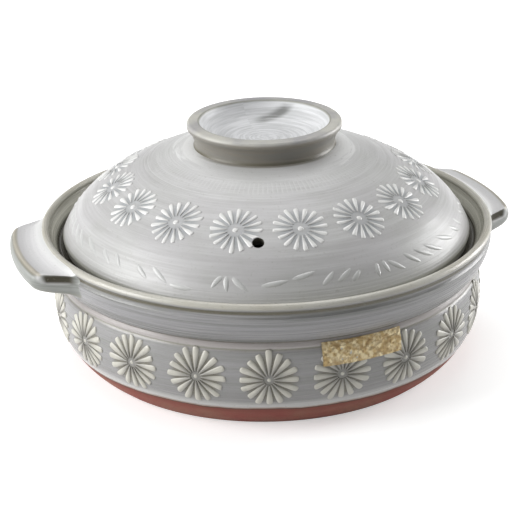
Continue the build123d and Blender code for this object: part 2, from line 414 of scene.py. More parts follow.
def makePlacesGroup():
    # radius and height in millimetres and the angle round the pot
    tree, given = newGroup("potPlaces", {"Point": None})
    x, y, height = splitParts(vectorMath("SCALE", {0: given["Point"], "Scale": 1 / mm})[0])
    radius = hypotenuse(x, y)
    safe = calculate("MAXIMUM", radius, 0.01)
    around = joinParts({0: calculate("DIVIDE", x, safe), 1: calculate("DIVIDE", y, safe)})
    angle = calculate("ARCTAN2", x, both(y, -1.0))
    return closeGroup(tree, {"Radius": radius, "Height": height, "Angle": angle, "Around": around})


def makeBrushGroup():
    # streaks that run round the pot, as a wide brush leaves them on the wheel
    inputs = {"Across": 0.0, "Around": None, "Fineness": 0.5, "Length": 1.6, "Seed": 0.0}
    tree, given = newGroup("brushBands", inputs)
    reach = vectorMath("SCALE", {0: given["Around"], "Scale": given["Length"]})[0]
    rise = joinParts({0: given["Seed"], 2: both(given["Across"], given["Fineness"])})
    streaks = noiseAt(vectorMath("ADD", {0: reach, 1: rise})[0], 1.0, 5.0, 0.62, 0.25)
    return closeGroup(tree, {"Mask": ease(streaks, 0.34, 0.66)})


def makeMottleGroup():
    # soft clouds, specks and fine grain of a thick ash glaze
    tree, given = newGroup("glazeMottle", {"Point": None})
    point = given["Point"]
    clouds = ease(noiseAt(point, 32.0, 4.0, 0.55), 0.32, 0.68)
    specks = ease(noiseAt(point, 620.0, 2.0), 0.62, 0.74)
    return closeGroup(tree, {"Clouds": clouds, "Specks": specks, "Grain": noiseAt(point, 1500.0, 3.0)})


def makeStampGroup():
    # distance from the middle of the nearest flower in a row round the pot
    inputs = {"Angle": 0.0, "Across": 0.0, "Count": 16.0, "Turn": 0.0, "Row Radius": 100.0}
    tree, given = newGroup("stampRow", inputs)
    turned = calculate("SUBTRACT", given["Angle"], given["Turn"])
    pitch = calculate("DIVIDE", math.tau, given["Count"])
    nearest = both(pitch, calculate("ROUND", calculate("DIVIDE", turned, pitch)))
    along = both(calculate("SUBTRACT", turned, nearest), given["Row Radius"])
    return closeGroup(tree, {"Distance": hypotenuse(along, given["Across"])})


placesGroup, brushGroup = makePlacesGroup(), makeBrushGroup()
mottleGroup, stampGroup = makeMottleGroup(), makeStampGroup()
print("node groups made")


def startMaterial(name):
    material = bpy.data.materials.new(name)
    material.use_nodes = True
    point = material.node_tree.nodes.new("ShaderNodeTexCoord").outputs["Object"]
    return material, point


def placesAt(point):
    return tuple(useGroup(placesGroup, {"Point": point}))


def mottleAt(point):
    return useGroup(mottleGroup, {"Point": point})


def brushMask(across, around, fineness, length, seed=0.0):
    inputs = {"Across": across, "Around": around, "Fineness": fineness, "Length": length, "Seed": seed}
    return useGroup(brushGroup, inputs)["Mask"]


def finishMaterial(material, shade, roughness, relief, strength, depth):
    # depth is the relief's height in millimetres
    bump = addNode("ShaderNodeBump", {"Height": relief, "Strength": strength, "Distance": depth * mm})
    shader = material.node_tree.nodes["Principled BSDF"]
    feed(shader, {"Base Color": shade, "Roughness": roughness, "Normal": bump[0]})
    return material


# bowl
bowl = {
    "lipRound": 2.6,
    "lipStartDegrees": -40,
    "lipEndDegrees": 190,
    "grooveDepth": 0.7,
    "collarHeight": 26.2,
    "collarInset": 0.4,
    "collarDrop": 8.6,
    "collarTaper": 8.2,
    "collarBulge": 1.5,
    "undercut": 0.9,
    "collarStep": 1.6,
    "bellySwell": 3.6,
    "heelInset": 3.3,
    "heelHeight": 21,
    "footInset": 16.5,
    "footRing": 15,
    "footRound": 1.2,
    "recess": 2,
    "recessSlope": 3,
    "floor": 8.5,
    "wall": 8.2,
    "floorRound": 20,
    "galleryInset": 10.6,
    "ledgeWidth": 10.4,
    "ledgeNose": 4,
    "galleryRound": 1.6,
    "glazeLine": 16.2,
    "glazeThickness": 0.35,
    "incisedLine": 55,
    "incisedDepth": 0.45,
    "incisedWidth": 0.75,
}
lipRadius, rimHeight = bowlHigh.x, bowlHigh.z
collarFoot = (lipRadius - bowl["collarTaper"], rimHeight - bowl["collarHeight"])
neckRadius = collarFoot[0] - bowl["collarStep"]
bellyRadius = neckRadius + bowl["bellySwell"]
heelRadius = bellyRadius - bowl["heelInset"]
footRadius = heelRadius - bowl["footInset"]
ledgeHeight = domeLow.z
galleryRadius = lipRadius - bowl["galleryInset"]


def bellyPoints(steps):
    heel = (heelRadius, bowl["heelHeight"])
    belly = (bellyRadius, (bowl["heelHeight"] + collarFoot[1]) / 2)
    neck = (neckRadius, collarFoot[1] - bowl["undercut"])
    return [heel] + arcThrough(heel, belly, neck, steps)


def turnedLines(points):
    # the incised line under the neck and the glaze's lower edge
    cut = []
    for radius, height in points:
        away = (height - bowl["incisedLine"]) / bowl["incisedWidth"]
        inset = bowl["incisedDepth"] * math.exp(-away * away)
        inset += bowl["glazeThickness"] / (1 + math.exp((height - bowl["glazeLine"]) * 4))
        cut.append((radius - inset, height))
    return cut


def lipPoint(degrees):
    turn = math.radians(degrees)
    return (
        lipRadius - bowl["lipRound"] * (1 - math.cos(turn)),
        rimHeight - bowl["lipRound"] * (1 - math.sin(turn)),
    )


def collarPoints(endDegrees):
    # up the collar, past the groove and round the lip
    start, end = bowl["lipStartDegrees"], endDegrees
    collarTop = (lipRadius - bowl["collarInset"], rimHeight - bowl["collarDrop"])
    points = [collarFoot] + bowed(collarFoot, collarTop, bowl["collarBulge"], 24)
    points += bowed(collarTop, lipPoint(start), -bowl["grooveDepth"], 10)
    return points + arcThrough(lipPoint(start), lipPoint((start + end) / 2), lipPoint(end), 28)


def makeBowl():
    belly = bellyPoints(90)
    downwards = -wayAt(belly, 0)
    foot = (footRadius, 0)
    heel = tangentArc(belly[0], downwards, foot, 40)
    footCorner = roundedCorner(heel[-8], foot, (footRadius - bowl["footRing"], 0), bowl["footRound"], 5)
    outside = [point for point in reversed(heel) if point[1] > footCorner[0][1]]
    ledgeCorner = (galleryRadius, ledgeHeight)
    ledgeEdge = (galleryRadius - bowl["ledgeWidth"], ledgeHeight)
    noseFoot = (ledgeEdge[0], ledgeHeight - bowl["ledgeNose"])
    floorHeight = bowl["recess"] + bowl["floor"]
    floorCorner = (heelRadius - bowl["wall"], floorHeight)
    innerMiddle = (bellyRadius - bowl["wall"], (ledgeHeight + bowl["heelHeight"]) / 2)
    innerSide = arcThrough(noseFoot, innerMiddle, floorCorner, 40)
    floorTurn = roundedCorner(innerSide[-12], floorCorner, (0, floorHeight), bowl["floorRound"], 12)
    innerSide = [point for point in innerSide if point[1] > floorTurn[0][1] + 1]
    footFlat = footRadius - bowl["footRing"]
    outline = [(0, bowl["recess"]), (footFlat - bowl["recessSlope"], bowl["recess"]), (footFlat, 0)]
    outline += list(reversed(footCorner)) + turnedLines(outside) + turnedLines(belly)
    collar = collarPoints(bowl["lipEndDegrees"])
    outline += collar
    outline += roundedCorner(collar[-1], ledgeCorner, ledgeEdge, bowl["galleryRound"], 6)
    outline += roundedCorner(ledgeCorner, ledgeEdge, noseFoot, bowl["galleryRound"] / 2, 4)
    outline += [noseFoot] + innerSide + floorTurn + [(floorTurn[-1][0] / 2, floorHeight), (0, floorHeight)]
    piece = turnOutline("glazedBowl", outline)
    smooth(piece, turnedDegrees)
    return piece


glazedBowl = makeBowl()
print("bowl turned")

# lid
lid = {
    "edgeHeight": 5.2,
    "edgeRound": 1.2,
    "footInset": 1.2,
    "seatWidth": 6.6,
    "wall": 6.2,
    "shoulderInset": 23.3,
    "shoulderHeight": 32.4,
    "crownBulge": 2.9,
    "knobRootInset": 5,
    "ventRadius": 3.5,
    "ventInset": 1.3,
    "ventDegrees": -22.2,
}
lidRadius, knobSeat = domeHigh.x, domeHigh.z
knobRadius, knobTop = knobHigh.x, knobHigh.z
knobRoot = (knobRadius - lid["knobRootInset"], knobSeat)
shoulder = (lidRadius - lid["shoulderInset"], ledgeHeight + lid["shoulderHeight"])
lidEdge = (lidRadius, ledgeHeight + lid["edgeHeight"])
crown = [shoulder] + bowed(shoulder, knobRoot, lid["crownBulge"], 70)
lidSide = [shoulder] + tangentArc(shoulder, -wayAt(crown, 0), lidEdge, 36)
lidTrack = makeTrack(list(reversed(lidSide)) + crown[1:])
wallTrack = makeTrack(bellyPoints(90))


def insetPoints(points, depth):
    made = []
    for index in range(len(points)):
        way = wayAt(points, min(index, len(points) - 2))
        made.append((points[index][0] - way.y * depth, points[index][1] + way.x * depth))
    return made


def ventPlace():
    # mouth of the vent on the crown, and the way it points
    distance = shoulder[0] - lid["ventInset"]
    length = lengthAt(lidTrack, distance)
    here = trackPoint(lidTrack, length)
    way = trackWay(lidTrack, length, 2)
    turn = math.radians(lid["ventDegrees"])
    ahead = Vector((math.sin(turn), -math.cos(turn), 0))
    upwards = Vector((0, 0, 1))
    return (ahead * here.x + upwards * here.y) * mm, ahead * way.y - upwards * way.x


def boreVent(piece):
    mouth, way = ventPlace()
    bpy.ops.mesh.primitive_cylinder_add(
        vertices=48,
        radius=lid["ventRadius"] * mm,
        depth=lid["wall"] * 4 * mm,
        location=mouth,
        rotation=way.to_track_quat("Z", "Y").to_euler(),
    )
    drill = bpy.context.object
    modify(piece, "BOOLEAN", operation="DIFFERENCE", object=drill)
    applyAll(piece)
    bpy.data.objects.remove(drill)


def makeLidDome():
    seatOuter = (lidRadius - lid["footInset"], ledgeHeight)
    seatInner = (seatOuter[0] - lid["seatWidth"], ledgeHeight)
    innerCrown = insetPoints(crown, lid["wall"])
    innerSide = tangentArc(innerCrown[0], -wayAt(innerCrown, 0), seatInner, 24)
    edge = roundedCorner(lidSide[-6], lidEdge, seatOuter, lid["edgeRound"], 6)
    side = [point for point in lidSide if point[1] > edge[0][1] + 0.3]
    top = innerCrown[-1]
    outline = [(0, top[1]), (top[0] / 2, top[1])] + list(reversed(innerCrown)) + innerSide
    outline += [seatOuter] + list(reversed(edge)) + list(reversed(side)) + crown[1:]
    outline += [(knobRoot[0] / 2, knobSeat), (0, knobSeat)]
    piece = turnOutline("glazedDome", outline)
    boreVent(piece)
    smooth(piece, turnedDegrees)
    return piece


glazedDome = makeLidDome()
print("lid turned")

# knob
knob = {
    "rimWidth": 7.6,
    "rimBand": 3.6,
    "rimProud": 0.3,
    "rimRound": 2.0,
    "wallHollow": 0.8,
    "mouthRound": 0.8,
    "dishDepth": 11.6,
    "dishFloorInset": 24,
    "dishDegrees": 62,
    "rootFillet": 2.0,
    "rootStand": 0.25,
    "rootLip": 0.6,
    "rootHollow": 0.5,
    "dishSag": (0.35, 0.5),
    "smoothDegrees": 50,
}


def makeKnob():
    rimFoot = (knobRadius - knob["rimProud"], knobTop - knob["rimBand"])
    rimOuter, rimInner = (knobRadius, knobTop), (knobRadius - knob["rimWidth"], knobTop)
    dishFloor = (knobRadius - knob["dishFloorInset"], knobTop - knob["dishDepth"])
    steep = math.radians(knob["dishDegrees"])
    dish = tangentArc(rimInner, (-math.cos(steep), -math.sin(steep)), dishFloor, 30)
    mouth = roundedCorner(rimOuter, rimInner, dish[3], knob["mouthRound"], 5)
    flare = (knobRoot[0] + knob["rootFillet"], knobSeat - knob["rootFillet"] * 0.5)
    wallFoot = (knobRoot[0] + knob["rootStand"], knobSeat + knob["rootFillet"])
    outline = [(0, knobSeat - knob["rootFillet"]), (flare[0], flare[1] - knob["rootLip"]), flare]
    outline += bowed(flare, wallFoot, -knob["rootHollow"], 6)
    outline += bowed(wallFoot, rimFoot, -knob["wallHollow"], 16)
    outline += roundedCorner(rimFoot, rimOuter, rimInner, knob["rimRound"], 10) + mouth
    outline += [point for point in dish if point[0] < mouth[-1][0] - 0.3]
    halfSag, sag = knob["dishSag"]
    outline += [(dishFloor[0] * 0.6, dishFloor[1] - halfSag), (0, dishFloor[1] - sag)]
    piece = turnOutline("glazedKnob", outline)
    smooth(piece, knob["smoothDegrees"])
    return piece


glazedKnob = makeKnob()
print("knob turned")

# handles, drawn as a turned slab whose reach falls away to both ends, then remeshed together with
# a stretch of the collar so that glaze fills their corners
handle = {
    "right": {"crease": 154.6, "soft": 4.5, "turn": 0},
    "left": {"crease": 157.6, "soft": 6.5, "turn": 177.7},
    "tipDegrees": 14.6,
    "rootDegrees": 21.2,
    "steps": 112,
    "grooveDepth": 2.4,
    "grooveDegrees": (15.8, 19.6, 2.2),  # low, high and softness
    "grooveHeights": (78.0, 81.6, 2.4),
    "grooveReach": (0.9, 2, 1.0),
    "overlap": 0.4,
    "spacing": 1.0,
    "rootDepth": 5,
    "back": {"lip": 3.6, "drop": 1.8, "ledge": 7.6, "neck": 0.6, "rise": 0.4},
    "collarDegrees": 58,
    "collarSteps": 64,
    "voxel": 0.8,
    "rounds": 8,
    "sink": 0.14,
    # share of the reach to the crease, and height
    "profile": (
        (0, 85.1), (0.08, 84.7), (0.22, 83.3), (0.4, 82.2), (0.6, 81.9), (0.78, 82.2), (0.92, 82.9),
        (0.99, 82.9), (1.04, 82.1), (1.06, 81.2), (1.12, 79.9), (1.17, 78), (1.18, 76), (1.14, 73.8),
        (1.06, 72), (0.93, 70.7), (0.75, 69.9), (0.5, 69.3), (0.25, 68.5), (0, 67),
    ),
}


def softLeast(first, second, soft):
    near = max(soft - abs(first - second), 0) / soft
    return min(first, second) - near * near * soft / 4


def handleReach(degrees, crease, soft):
    # distance of the crease from the pot's axis, at this turn from the handle's middle
    tip, root = math.radians(handle["tipDegrees"]), math.radians(handle["rootDegrees"])
    turn = math.radians(abs(degrees))
    corner = Vector((crease * math.cos(tip), crease * math.sin(tip)))
    way = Vector((lipRadius * math.cos(root), lipRadius * math.sin(root))) - corner
    here = Vector((math.cos(turn), math.sin(turn)))
    slanted = corner.cross(way) / here.cross(way)
    return -softLeast(-softLeast(slanted, crease, soft), -lipRadius, soft / 2)


def bump(value, low, high, soft):
    # one between low and high, with soft ends
    rise = min(1, max(0, (value - low) / soft + 0.5))
    fall = min(1, max(0, (high - value) / soft + 0.5))
    return (rise * rise * (3 - 2 * rise)) * (fall * fall * (3 - 2 * fall))


def fineOutline(outline, spacing):
    made = [outline[0]]
    for last, point in zip(outline, outline[1:]):
        parts = max(1, round(math.dist(last, point) / spacing))
        made += [tuple(Vector(last).lerp(Vector(point), part / parts)) for part in range(1, parts + 1)]
    return made


def shapeLug(lug, collar, crease, soft):
    # draws the slab's ends in to the collar and presses the finger grooves
    full = crease - lipRadius
    near, far, edge = handle["grooveReach"]
    for vertex in lug.data.vertices:
        reach, height = math.hypot(vertex.co.x, vertex.co.y) / mm, vertex.co.z / mm
        degrees = math.degrees(math.atan2(vertex.co.y, vertex.co.x))
        nearest = min(collar, key=lambda point: abs(point[1] - height))
        base = min(nearest[0], lipRadius) - handle["overlap"]
        if reach > base:
            share = (handleReach(degrees, crease, soft) - lipRadius) / full
            grown = base + (reach - base) * share
            dent = bump(abs(degrees), *handle["grooveDegrees"]) * bump(height, *handle["grooveHeights"])
            dent *= bump(reach, lipRadius + full * near, lipRadius + full * far, edge)
            grown -= handle["grooveDepth"] * dent
            vertex.co.x *= grown / reach
            vertex.co.y *= grown / reach


def makeHandle(name, crease, soft, turn):
    outline = [(lipRadius + share * (crease - lipRadius), height) for share, height in handle["profile"]]
    root = lipRadius - handle["rootDepth"]
    outline = fineOutline(outline, handle["spacing"]) + [(root, outline[-1][1]), (root, outline[0][1])]
    lug = turnSector(name, outline, 2 * handle["rootDegrees"], handle["steps"])
    collar = collarPoints(90)
    shapeLug(lug, collar, crease, soft)
    # the stretch of collar stays just inside the bowl's own wall
    back = handle["back"]
    inner = [(lipRadius - back["lip"], rimHeight - back["drop"]), (lipRadius - back["ledge"], ledgeHeight)]
    inner.append((neckRadius + back["neck"], collarFoot[1] + back["rise"]))
    ring = turnSector(name + "Collar", collar + inner, handle["collarDegrees"], handle["collarSteps"])
    piece = joined([lug, ring], name)
    piece.data.transform(Matrix.Rotation(math.radians(turn), 4, "Z"))
    modify(piece, "REMESH", mode="VOXEL", voxel_size=handle["voxel"] * mm)
    modify(piece, "SMOOTH", factor=0.5, iterations=handle["rounds"])
    modify(piece, "DISPLACE", strength=-handle["sink"] * mm, mid_level=0)
    applyAll(piece)
    pick(piece)
    bpy.ops.object.shade_smooth()
    return piece


rightLug = makeHandle("rightLug", **handle["right"])
leftLug = makeHandle("leftLug", **handle["left"])
print("handles made")

# chrysanthemums of white slip
wallRow = {
    "count": 20,
    "radius": 17.9,
    "drop": 22.3,
    "turnDegrees": -1.5,
    "petals": 16,
    "root": 3.2,
    "rootWidth": 0.8,
    "width": 4.4,
    "height": 0.75,
    "sunk": 0.5,
    "dot": 1.2,
}
lidRow = {
    "count": 16,
    "radius": 15.9,
    "inset": 9.3,
    "turnDegrees": -30.2,
    "petals": 16,
    "root": 5.0,
    "rootWidth": 0.7,
    "width": 3.3,
    "height": 0.55,
    "sunk": 0.5,
    "dot": 1.7,
}


# steps of a petal from root to tip, as share of its length and share of its width
petalSteps = ((0.3, 0.55), (0.36, 0.86), (0.26, 1.0), (0.08, 0.72))
petalBlock = 0.5


def makePetal(row):
    # extruded outwards from a small block at the root
    clearSelection()
    bpy.ops.mesh.primitive_cube_add(
        size=1,
        location=(0, row["root"] * mm, (row["height"] - row["sunk"]) / 2 * mm),
        scale=(row["rootWidth"] * mm, petalBlock * mm, (row["height"] + row["sunk"]) * mm),
    )
    piece = bpy.context.object
    settle(piece)
    startEdit("FACE", "DESELECT")
    bpy.ops.object.mode_set(mode="OBJECT")
    outer = max(piece.data.polygons, key=lambda face: face.center.y)
    outer.select = True
    bpy.ops.object.mode_set(mode="EDIT")
    width = row["rootWidth"]
    for share, wide in petalSteps:
        step = share * (row["radius"] - row["root"]) * mm
        bpy.ops.mesh.extrude_region_move(TRANSFORM_OT_translate={"value": (0, step, 0)})
        target = row["width"] * wide
        bpy.ops.transform.resize(value=(target / width, 1, 1))
        width = target
    endEdit()
    modify(piece, "SUBSURF", levels=1, render_levels=1)
    applyAll(piece)
    return piece


def makeFlower(name, row):
    piece = makePetal(row)
    piece.name = name
    startEdit("FACE")
    for _ in range(1, row["petals"]):
        bpy.ops.mesh.duplicate()
        turn = math.tau / row["petals"]
        bpy.ops.transform.rotate(value=turn, orient_axis="Z", center_override=(0, 0, 0))
    bpy.ops.object.mode_set(mode="OBJECT")
    clearSelection()
    flat = (1, 1, 0.32)
    bpy.ops.mesh.primitive_uv_sphere_add(segments=12, ring_count=6, radius=row["dot"] * mm, scale=flat)
    dot = bpy.context.object
    settle(dot)
    piece = joined([piece, dot], name)
    tip = piece.data.attributes.new("tipShare", "FLOAT", "POINT")
    for index, vertex in enumerate(piece.data.vertices):
        reach = math.hypot(vertex.co.x, vertex.co.y) / mm
        tip.data[index].value = 0.85 if reach < row["dot"] * 1.01 else min(1, reach / row["radius"])
    smooth(piece, laidDegrees)
    return piece


# the stamp is pressed by hand, so petals differ a little
press = {"waves": 2.6, "step": 7.3, "middle": 0.95, "spread": 0.13}


def unevenFlower(piece, row, seed):
    waves, root = press["waves"], row["root"] * mm
    for vertex in piece.data.vertices:
        reach = math.hypot(vertex.co.x, vertex.co.y)
        if reach > root:
            turn = math.atan2(vertex.co.y, vertex.co.x)
            spot = Vector((waves * math.cos(turn), waves * math.sin(turn), seed * press["step"]))
            grown = root + (reach - root) * (press["middle"] + press["spread"] * noise.noise(spot))
            vertex.co.x *= grown / reach
            vertex.co.y *= grown / reach


def makeRow(name, row, track, length):
    stamp = makeFlower(name + "Stamp", row)
    flowers = []
    for place in range(row["count"]):
        flower = ownCopy(stamp, f"{name}{place}")
        unevenFlower(flower, row, place + row["count"])
        layOn(flower, track, length, row["turnDegrees"] + 360 / row["count"] * place)
        flowers.append(flower)
    bpy.data.objects.remove(stamp)
    return joined(flowers, name)


wallRowHeight = collarFoot[1] - wallRow["drop"]
lidRowRadius = shoulder[0] - lidRow["inset"]
wallPetals = makeRow("wallPetals", wallRow, wallTrack, lengthAt(wallTrack, wallRowHeight, 1))
lidPetals = makeRow("lidPetals", lidRow, lidTrack, lengthAt(lidTrack, lidRowRadius))
boreVent(lidPetals)
print("flowers laid on")

# leaf strokes of slip near the lid's edge, as (degrees, distance from the axis) at both ends
leaves = {
    "width": 4.4,
    "height": 0.4,
    "repeats": 3,
    "overlap": 1.12,
    "bend": 0.45,
    "rootWide": 1.05,
    "taper": 0.4,
    "crest": 4.4,  # most of a leaf is sunk, so that its sides rise gently
    "sunk": 1.2,
    "strokes": (
        ((-82.8, 118.6), (-73.5, 123.4)), ((-72.8, 119), (-67.6, 123.3)), ((-67.1, 118.6), (-63.1, 123.2)),
        ((-58.2, 120), (-53.2, 123.6)), ((-52.8, 119.3), (-46.8, 123.7)), ((-46.4, 123.6), (-39.1, 124.4)),
        ((-31.8, 118.8), (-34.6, 123.4)), ((-30.8, 118.3), (-30.2, 124.4)), ((-29.3, 118.9), (-24.6, 123.7)),
        ((-21.5, 122.2), (-13.5, 120.5)), ((-13.2, 120.4), (-6.1, 118)), ((-5, 123.4), (-1, 118.2)),
        ((-0.7, 122.8), (4.1, 118.2)), ((3.5, 123), (6.5, 119.5)), ((11.8, 118.6), (11.6, 123.8)),
        ((13.9, 118.4), (15.2, 123.4)), ((15.5, 119.2), (20.7, 124)), ((21.6, 118.2), (27, 123.7)),
        ((25.9, 118.7), (33.2, 123.7)), ((30.4, 118.2), (38, 124)),
    ),
}


def makeLeaf(start, end, turn, name):
    low, high = lengthAt(lidTrack, start[1]), lengthAt(lidTrack, end[1])
    run = math.radians(end[0] - start[0]) * (start[1] + end[1]) / 2
    rise = high - low
    clearSelection()
    lying = (0, math.radians(90), 0)
    bpy.ops.mesh.primitive_uv_sphere_add(segments=10, ring_count=8, radius=0.5, rotation=lying)
    piece = bpy.context.object
    piece.name = name
    settle(piece)
    for vertex in piece.data.vertices:
        x, y, z = vertex.co
        width = leaves["width"] * (leaves["rootWide"] - leaves["taper"] * (x + 0.5))
        length = math.hypot(run, rise) * leaves["overlap"]
        height = (z * leaves["crest"] - leaves["sunk"]) * leaves["height"]
        vertex.co = Vector((x * length, y * width + leaves["bend"] * (2 * x) ** 2, height)) * mm
    piece.data.transform(Matrix.Rotation(math.atan2(rise, run), 4, "Z"))
    layOn(piece, lidTrack, (low + high) / 2, (start[0] + end[0]) / 2 + turn)
    return piece


def makeLeaves():
    made = []
    for repeat in range(leaves["repeats"]):
        for start, end in leaves["strokes"]:
            made.append(makeLeaf(start, end, repeat * 360 / leaves["repeats"], f"leaf{len(made)}"))
    piece = joined(made, "lidLeaves")
    smooth(piece, laidDegrees)
    return piece


lidLeaves = makeLeaves()
print("leaf strokes laid on")

# paper label, bare, crumpled on the pot's front
label = {
    "leftDegrees": -6.4,
    "rightDegrees": 14.8,
    "drop": 2.2,
    "height": 14,
    "lift": 0.62,
    "crumple": 0.34,
    "paper": 0.12,
    "parts": (110, 32),
    "foldStretch": (0.33, 0.45, 4.2),
    "foldDepth": 1.6,
    "fineFolds": 2.7,
    "fineShare": 0.45,
    "tornEdge": 0.16,
    "tornWaves": 0.9,
}


def makeLabel():
    width = math.radians(label["rightDegrees"] - label["leftDegrees"]) * bellyRadius
    across, up = label["parts"]
    waves = label["tornWaves"]
    clearSelection()
    bpy.ops.mesh.primitive_grid_add(x_subdivisions=across, y_subdivisions=up, size=1)
    piece = bpy.context.object
    piece.name = "goldLabel"
    for vertex in piece.data.vertices:
        x, y = vertex.co.x * width, vertex.co.y * label["height"]
        spot = Vector((x, y, 1)) * Vector(label["foldStretch"])
        fold = abs(noise.noise(spot)) + label["fineShare"] * abs(noise.noise(spot * label["fineFolds"]))
        edge = label["tornEdge"] * noise.noise(Vector((x * waves, y * waves, 1.7)))
        height = label["lift"] + label["crumple"] * (1 - label["foldDepth"] * fold)
        vertex.co = Vector((x + edge, y + edge, height)) * mm
    centre = (label["leftDegrees"] + label["rightDegrees"]) / 2
    middle = collarFoot[1] - label["drop"] - label["height"] / 2
    layOn(piece, wallTrack, lengthAt(wallTrack, middle, 1), centre)
    modify(piece, "SOLIDIFY", thickness=label["paper"] * mm, offset=-1)
    applyAll(piece)
    smooth(piece, laidDegrees)
    return piece


goldLabel = makeLabel()
print("label laid on")

# glazes, clay and paper
glaze = {
    "wall": (0.275, 0.272, 0.268),
    "wallLilac": (0.335, 0.325, 0.335),
    "wallGreen": (0.235, 0.245, 0.22),
    "neck": (0.40, 0.372, 0.362),
    "collar": (0.185, 0.188, 0.182),
    "collarLight": (0.33, 0.325, 0.34),
    "olive": (0.115, 0.105, 0.07),
    # near black, for painted shadow in corners, hollows and the vent
    "paintedShade": (0.05, 0.045, 0.028),
    "oliveGrey": (0.25, 0.25, 0.205),
    "lip": (0.53, 0.52, 0.47),
    "tan": (0.40, 0.365, 0.285),
    "gallery": (0.61, 0.60, 0.52),
    "inside": (0.55, 0.55, 0.535),
    # dark ground of the stamps, partly painted shadow between the petals
    "stampGroundShade": (0.17, 0.16, 0.125),
    "glazePool": (0.60, 0.60, 0.585),
    "glazeEdge": (0.30, 0.17, 0.11),
    "clay": (0.37, 0.10, 0.078),
    "clayDark": (0.20, 0.055, 0.042),
    "lid": (0.44, 0.44, 0.43),
    "lidWhite": (0.64, 0.645, 0.64),
    "lidLilac": (0.56, 0.54, 0.57),
    "lidShade": (0.31, 0.33, 0.345),
    "lidGrey": (0.32, 0.32, 0.305),
    # painted highlight on the lid beside the knob
    "lidHighlight": (0.80, 0.805, 0.80),
    "knobWall": (0.215, 0.198, 0.165),
    "dish": (0.74, 0.745, 0.76),
    "dishGrey": (0.46, 0.47, 0.47),
    # ear tops, partly their own whiter glaze and partly painted light
    "handleTopLit": (0.64, 0.635, 0.64),
    "handleWhite": (0.70, 0.705, 0.695),
    "handleSide": (0.24, 0.25, 0.232),
    "handleSideLight": (0.34, 0.35, 0.335),
    "handleEdge": (0.30, 0.275, 0.205),
    "slip": (0.80, 0.80, 0.785),
    "wallSlip": (0.58, 0.565, 0.50),
    "wallSlipRoot": (0.30, 0.29, 0.265),
    "leaf": (0.52, 0.525, 0.515),
    "paperDark": (0.50, 0.36, 0.16),
    "paperLight": (0.80, 0.68, 0.42),
    "paperFleck": (0.21, 0.12, 0.045),
}


def paint(shade):
    return (*glaze[shade], 1.0) if isinstance(shade, str) else shade


def layered(shade, *layers):
    # lays glazes over each other, each as a mask, a name or socket, and its strength where it isn't one
    for mask, over, *strength in layers:
        share = both(mask, *strength) if strength else mask
        shade = addNode("ShaderNodeMix", {0: share, 6: paint(shade), 7: paint(over)}, data_type="RGBA")[2]
    return shade


def flowerGround(shade, angle, across, row, rowRadius, ground, strength):
    # darkens the ground round the petals of each flower: partly the stamped clay's own colour, partly
    # painted shadow between the raised petals
    turn = math.radians(row["turnDegrees"])
    inputs = {"Angle": angle, "Across": across, "Count": row["count"], "Turn": turn, "Row Radius": rowRadius}
    distance = useGroup(stampGroup, inputs)["Distance"]
    outer = fade(distance, row["radius"] * 0.62, row["radius"], strength)
    inner = ease(distance, row["dot"], row["dot"] * 4.5, 0.35)
    return layered(shade, (both(outer, inner), ground))


def masksFrom(measures, bands):
    # a band is low, high and softness, or else where its mask begins and where it is full
    made = {}
    for name, (measure, *edges) in bands.items():
        value = measures[measure]
        if len(edges) == 3:
            made[name] = zone(value, *edges)
        else:
            begin, full = edges
            made[name] = ease(value, begin, full) if begin < full else fade(value, full, begin)
    return lambda *names: both(*(made[name] for name in names))


clayLine, incisedLine, collarLow = bowl["glazeLine"], bowl["incisedLine"], collarFoot[1]
bowlBands = {
    "pool": ("height", clayLine + 7, clayLine + 2),
    # painted light: the neck band faces up and is painted lighter, with a pink tint
    "neck": ("height", 54.2, 60.5, 0.8),
    "incised": ("height", incisedLine - 0.5, incisedLine + 0.5, 0.4),
    "collar": ("height", collarLow - 0.3, collarLow + 0.3),
    # painted highlight along the collar's bulge
    "collarHighlight": ("height", collarLow + 7, collarLow + 14, 4),
    # painted shadow under the collar's step
    "step": ("height", collarLow - 0.9, collarLow + 0.6, 0.5),
    "groove": ("height", rimHeight - 6.2, rimHeight - 3.6, 0.7),
    "lip": ("height", rimHeight - 3.6, rimHeight - 1.6),
    "gallery": ("radius", galleryRadius - 2, lipRadius - bowl["lipRound"] * 1.7, 0.5),
    "galleryHeight": ("height", ledgeHeight - 2, ledgeHeight + 1),
    # painted shadow in the gallery's corner by the ledge, under the lid's edge
    "galleryCornerShade": ("radius", galleryRadius + 2, galleryRadius + 0.2),
    "brow": ("radius", lipRadius - 6.4, lipRadius - 4.6, 0.8),
    "within": ("radius", galleryRadius - 0.5, galleryRadius - 1.5),
    "aboveFloor": ("height", 9.4, 10),
    "lowerWall": ("radius", 124.5, 123.5),
    "upperWall": ("radius", 128.2, 127.4),
    "upperHeight": ("height", 17, 18.5),
    "ledge": ("height", 60, 61),
    # pooled glaze and painted shadow on the ledge under the lid's edge
    "seat": ("radius", lidRadius - 3.5, lidRadius - 1),
    "bare": ("wander", clayLine + 0.3, clayLine - 0.4),
    "clayShadow": ("height", clayLine - 6, clayLine - 0.5),
    "glazeEdge": ("wander", clayLine - 0.2, clayLine + 1, 0.4),
    # painted shadow just under the glaze's edge
    "glazeEdgeShadow": ("wander", clayLine - 0.9, clayLine - 0.1, 0.3),
}


